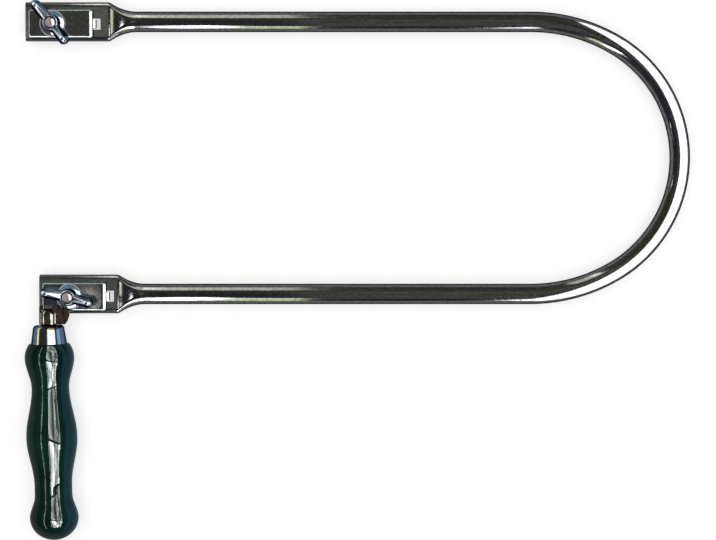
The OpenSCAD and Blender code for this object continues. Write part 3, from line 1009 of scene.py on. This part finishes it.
def barred(lamp, bar_place, bar_width, slant):
    """A window with a slanted bar across it and uneven, cracked glass."""
    crack_share = 0.14
    crack_light = 0.1
    beyond_light = 0.38
    tree, place, strength = lamp_nodes(lamp)
    parts = add_node(tree, "SeparateXYZ")
    tree.links.new(place, parts.inputs[0])
    slid = maths(tree, "MULTIPLY_ADD", parts.outputs["X"], slant, parts.outputs["Y"])
    off_bar = maths(tree, "ABSOLUTE", maths(tree, "SUBTRACT", slid, bar_place))
    pane = maths(tree, "GREATER_THAN", off_bar, bar_width / 2)
    beyond = maths(tree, "GREATER_THAN", slid, bar_place)
    side = maths(tree, "MULTIPLY_ADD", beyond, beyond_light - 1, 1.0)
    glass = mapped(tree, noise(tree, place, 3.2, 3), (0.4, 0.6), (0.2, 1.4))
    wave = add_node(tree, "TexWave", Scale=0.9, Distortion=9.0, Detail=3.0, Detail_Scale=2.0)
    tree.links.new(place, wave.inputs["Vector"])
    whole = maths(tree, "GREATER_THAN", wave.outputs["Fac"], crack_share)
    cracks = maths(tree, "MULTIPLY_ADD", whole, 1 - crack_light, crack_light)
    light = maths(tree, "MULTIPLY", maths(tree, "MULTIPLY", pane, glass), cracks)
    tree.links.new(maths(tree, "MULTIPLY", light, side), strength)


def bend_window():
    """The bend's bright outer side: a round-topped window from close over the bend down to the horizon."""
    turn = -9
    far_end = 1150
    near_end = 58
    near_z = 200
    out = Vector((cosine(turn), sine(turn), 0))
    bend = Vector((CROWN_X - ORIGIN[0], -ORIGIN[1], 0))
    foot = bend + out * far_end
    rise = out * (near_end - far_end) + Vector((0, 0, near_z))
    facing = rise.cross(Vector((-out.y, out.x, 0))).normalized()
    area("right window", foot, width=3900, height=2 * rise.length, radiance=11.0, aim=foot + facing,
         only=BOW, shape="ELLIPSE", up=rise.normalized())


def overhead_lamps():
    """A dull ceiling that only the bow shows, and the light over the whole saw."""
    ceiling = area("ceiling", (67, -325, 1000), width=250, height=1750, radiance=0.3,
                   colour=(1.0, 0.98, 0.82), only=BOW)
    mottled(ceiling, scale=9, low=0.25, high=1.5)
    area("overhead", (0, 0, 1900), width=2200, height=2200, radiance=2.2)


def bow_lamps():
    """Streaks along the arms, and a haze with grain over the flat ends."""
    area("near window", (-125, -400, 300), width=64, height=440, radiance=14.0, aim=(-125, 0, 200),
         only=BOW, shape="ELLIPSE")
    area("near wall", (-70, -400, 222), width=66, height=300, radiance=4.6, colour=(0.85, 1.0, 0.55),
         aim=(-70, 0, 140), only=BOW)
    area("far wall", (-150, 1000, 560), width=190, height=800, radiance=3.0, colour=(1.0, 1.0, 0.85),
         aim=(-150, 0, 300), only=BOW)
    area("far window", (-226, 1000, 420), width=56, height=560, radiance=5.2, aim=(-226, 0, 300), only=BOW)
    area("flat haze", (-290, 60, 1000), width=100, height=340, radiance=0.42, colour=(0.9, 1.0, 0.84),
         only=BOW)
    grain = area("flat grain", (-232, 60, 1000), width=22, height=360, radiance=0.95,
                 colour=(0.95, 1.0, 0.82), only=BOW)
    mottled(grain, scale=14, low=0.4, high=1.3)


def clamp_lamps(at):
    """Lights round one clamp: for its plate, its washer and nut, its bolt's end and its flare's slopes."""
    side = SIDES[at]
    x, y = clamp_centre(at)
    spot = (x + 5, y, 16)
    plate = ["plate_" + side]
    nut = ["wing_nut_" + side]
    small = ["washer_" + side] + nut
    end = ["bolt_" + side]
    card("plate right " + side, spot, zenith=55, azimuth=0, wide=60, tall=60, radiance=7.0, only=plate)
    card("plate near " + side, spot, zenith=62, azimuth=-90, wide=120, tall=40, radiance=6.5, only=plate)
    card("plate far " + side, spot, zenith=65, azimuth=90, wide=120, tall=30, radiance=2.0,
         colour=(0.8, 1, 0.9), only=plate)
    card("plate left " + side, spot, zenith=70, azimuth=180, wide=60, tall=30, radiance=2.0, only=plate)
    card("small far " + side, spot, zenith=46, azimuth=95, wide=110, tall=70, radiance=0.6,
         colour=(0.10, 0.38, 0.62), only=small)
    card("small right " + side, spot, zenith=44, azimuth=3, wide=56, tall=62, radiance=4.2,
         colour=(1.0, 0.96, 0.93), only=small)
    card("small near " + side, spot, zenith=55, azimuth=-80, wide=40, tall=40, radiance=5.0,
         colour=(1.0, 0.93, 0.95), only=small)
    mottled(card("small left " + side, spot, zenith=56, azimuth=152, wide=80, tall=56, radiance=5.5,
                 colour=(1.0, 0.95, 0.96), only=nut), scale=3.5, low=0.0, high=1.2, dark=0.46, bright=0.54)
    card("bolt sky " + side, spot, zenith=24, azimuth=10, wide=60, tall=34, radiance=2.2,
         colour=(1.0, 0.93, 0.97), only=end)
    card("bolt haze " + side, spot, zenith=25, azimuth=190, wide=70, tall=40, radiance=0.35,
         colour=(0.9, 0.6, 0.8), only=end)
    flare_x = clamp_x(at, FLAT_L[at])
    glint("crease " + side, (flare_x + 1.2, arm_y(at), 13.2), tilt=19.5, azimuth=180, distance=190,
          width=52, height=18, radiance=5.0, colour=(0.93, 1.0, 0.78), only=BOW)
    glint("comma " + side, (flare_x + 6.6, arm_y(at) - 2.0, 14.3), tilt=11.0, azimuth=186, distance=190,
          width=12, height=24, radiance=22.0, only=BOW)


def handle_lamps():
    """A barred window down the wood's middle, a narrow one on its left, and blue light on its right."""
    wood = ["handle_wood"]
    middle = (-150, -80, 15)
    pane_x = (-262, 640)
    pane_y = (-968, 1425)
    pane_z = 800
    pane_h = pane_y[1] - pane_y[0]
    bar_y = -176
    window = area("handle window", (sum(pane_x) / 2, sum(pane_y) / 2, pane_z), width=pane_x[1] - pane_x[0],
                  height=pane_h, radiance=135, colour=(0.94, 1.0, 0.97), only=wood)
    barred(window, bar_place=(bar_y - pane_y[0]) / pane_h + 0.01, bar_width=0.026, slant=0.07)
    mottled(card("left window", middle, zenith=42, azimuth=180, wide=100, tall=5.4, radiance=60,
                 colour=(0.9, 1.0, 0.9), only=wood), scale=9, low=0.0, high=1.0, dark=0.47, bright=0.6)
    card("handle sky", middle, zenith=84, azimuth=0, wide=120, tall=26, radiance=4.8,
         colour=(0.02, 0.42, 0.8), only=wood)
    area("handle shore", (115, -84, 0.5), width=500, height=140, radiance=2.1, colour=(0.0, 0.36, 0.8),
         aim=(115, -84, 50), only=wood)


def ferrule_lamps():
    """Peach, gold and blue light on the ferrule, and a haze and two side lights on the bracket."""
    cap = ["ferrule_cap"]
    leaf = ["handle_bracket_leaf"]
    middle = (-150.8, -30, 16)
    card("ferrule window", middle, zenith=24, azimuth=0, wide=90, tall=52, radiance=10.0,
         colour=(1.0, 0.80, 0.62), only=cap)
    card("ferrule gold", middle, zenith=72, azimuth=180, wide=90, tall=14, radiance=7.5,
         colour=(1.0, 0.66, 0.22), only=cap)
    card("ferrule sky", middle, zenith=78, azimuth=0, wide=90, tall=26, radiance=2.8,
         colour=(0.42, 0.66, 0.85), only=cap)
    mottled(card("bracket haze", middle, zenith=12, azimuth=-60, wide=90, tall=60, radiance=0.42,
                 colour=(1.0, 0.84, 0.58), only=leaf), scale=24, low=0.2, high=1.5)
    card("bracket left", middle, zenith=70, azimuth=180, wide=100, tall=11, radiance=26.0,
         colour=(0.85, 0.93, 1.0), only=leaf)
    card("bracket right", middle, zenith=58, azimuth=0, wide=100, tall=30, radiance=36.0,
         colour=(0.85, 0.93, 1.0), only=leaf)


def camera():
    data = bpy.data.cameras.new("camera")
    data.sensor_width = 36
    data.lens = 113.1
    data.clip_start = 0.05
    data.clip_end = 50
    eye = add_object("camera", data)
    back = (CAMERA - CAMERA_AIM).normalized()
    eye.matrix_world = frame_matrix(CAMERA, Vector((0, 1, 0)).cross(back).normalized(), back)
    bpy.context.scene.camera = eye


BOW = ["bow_tube"]
floor_piece()
world()
overhead_lamps()
bend_window()
bow_lamps()
for at in SIDES:
    clamp_lamps(at)
# Light on the lower plate, beside its nut
glint("sheen", (-129.6, -13.2, 16), tilt=0, azimuth=0, distance=120, width=13, height=6, radiance=3.0,
      colour=(1.0, 0.85, 0.7), only=["plate_lower"])
handle_lamps()
ferrule_lamps()
camera()
bpy.context.scene.view_settings.view_transform = "Standard"
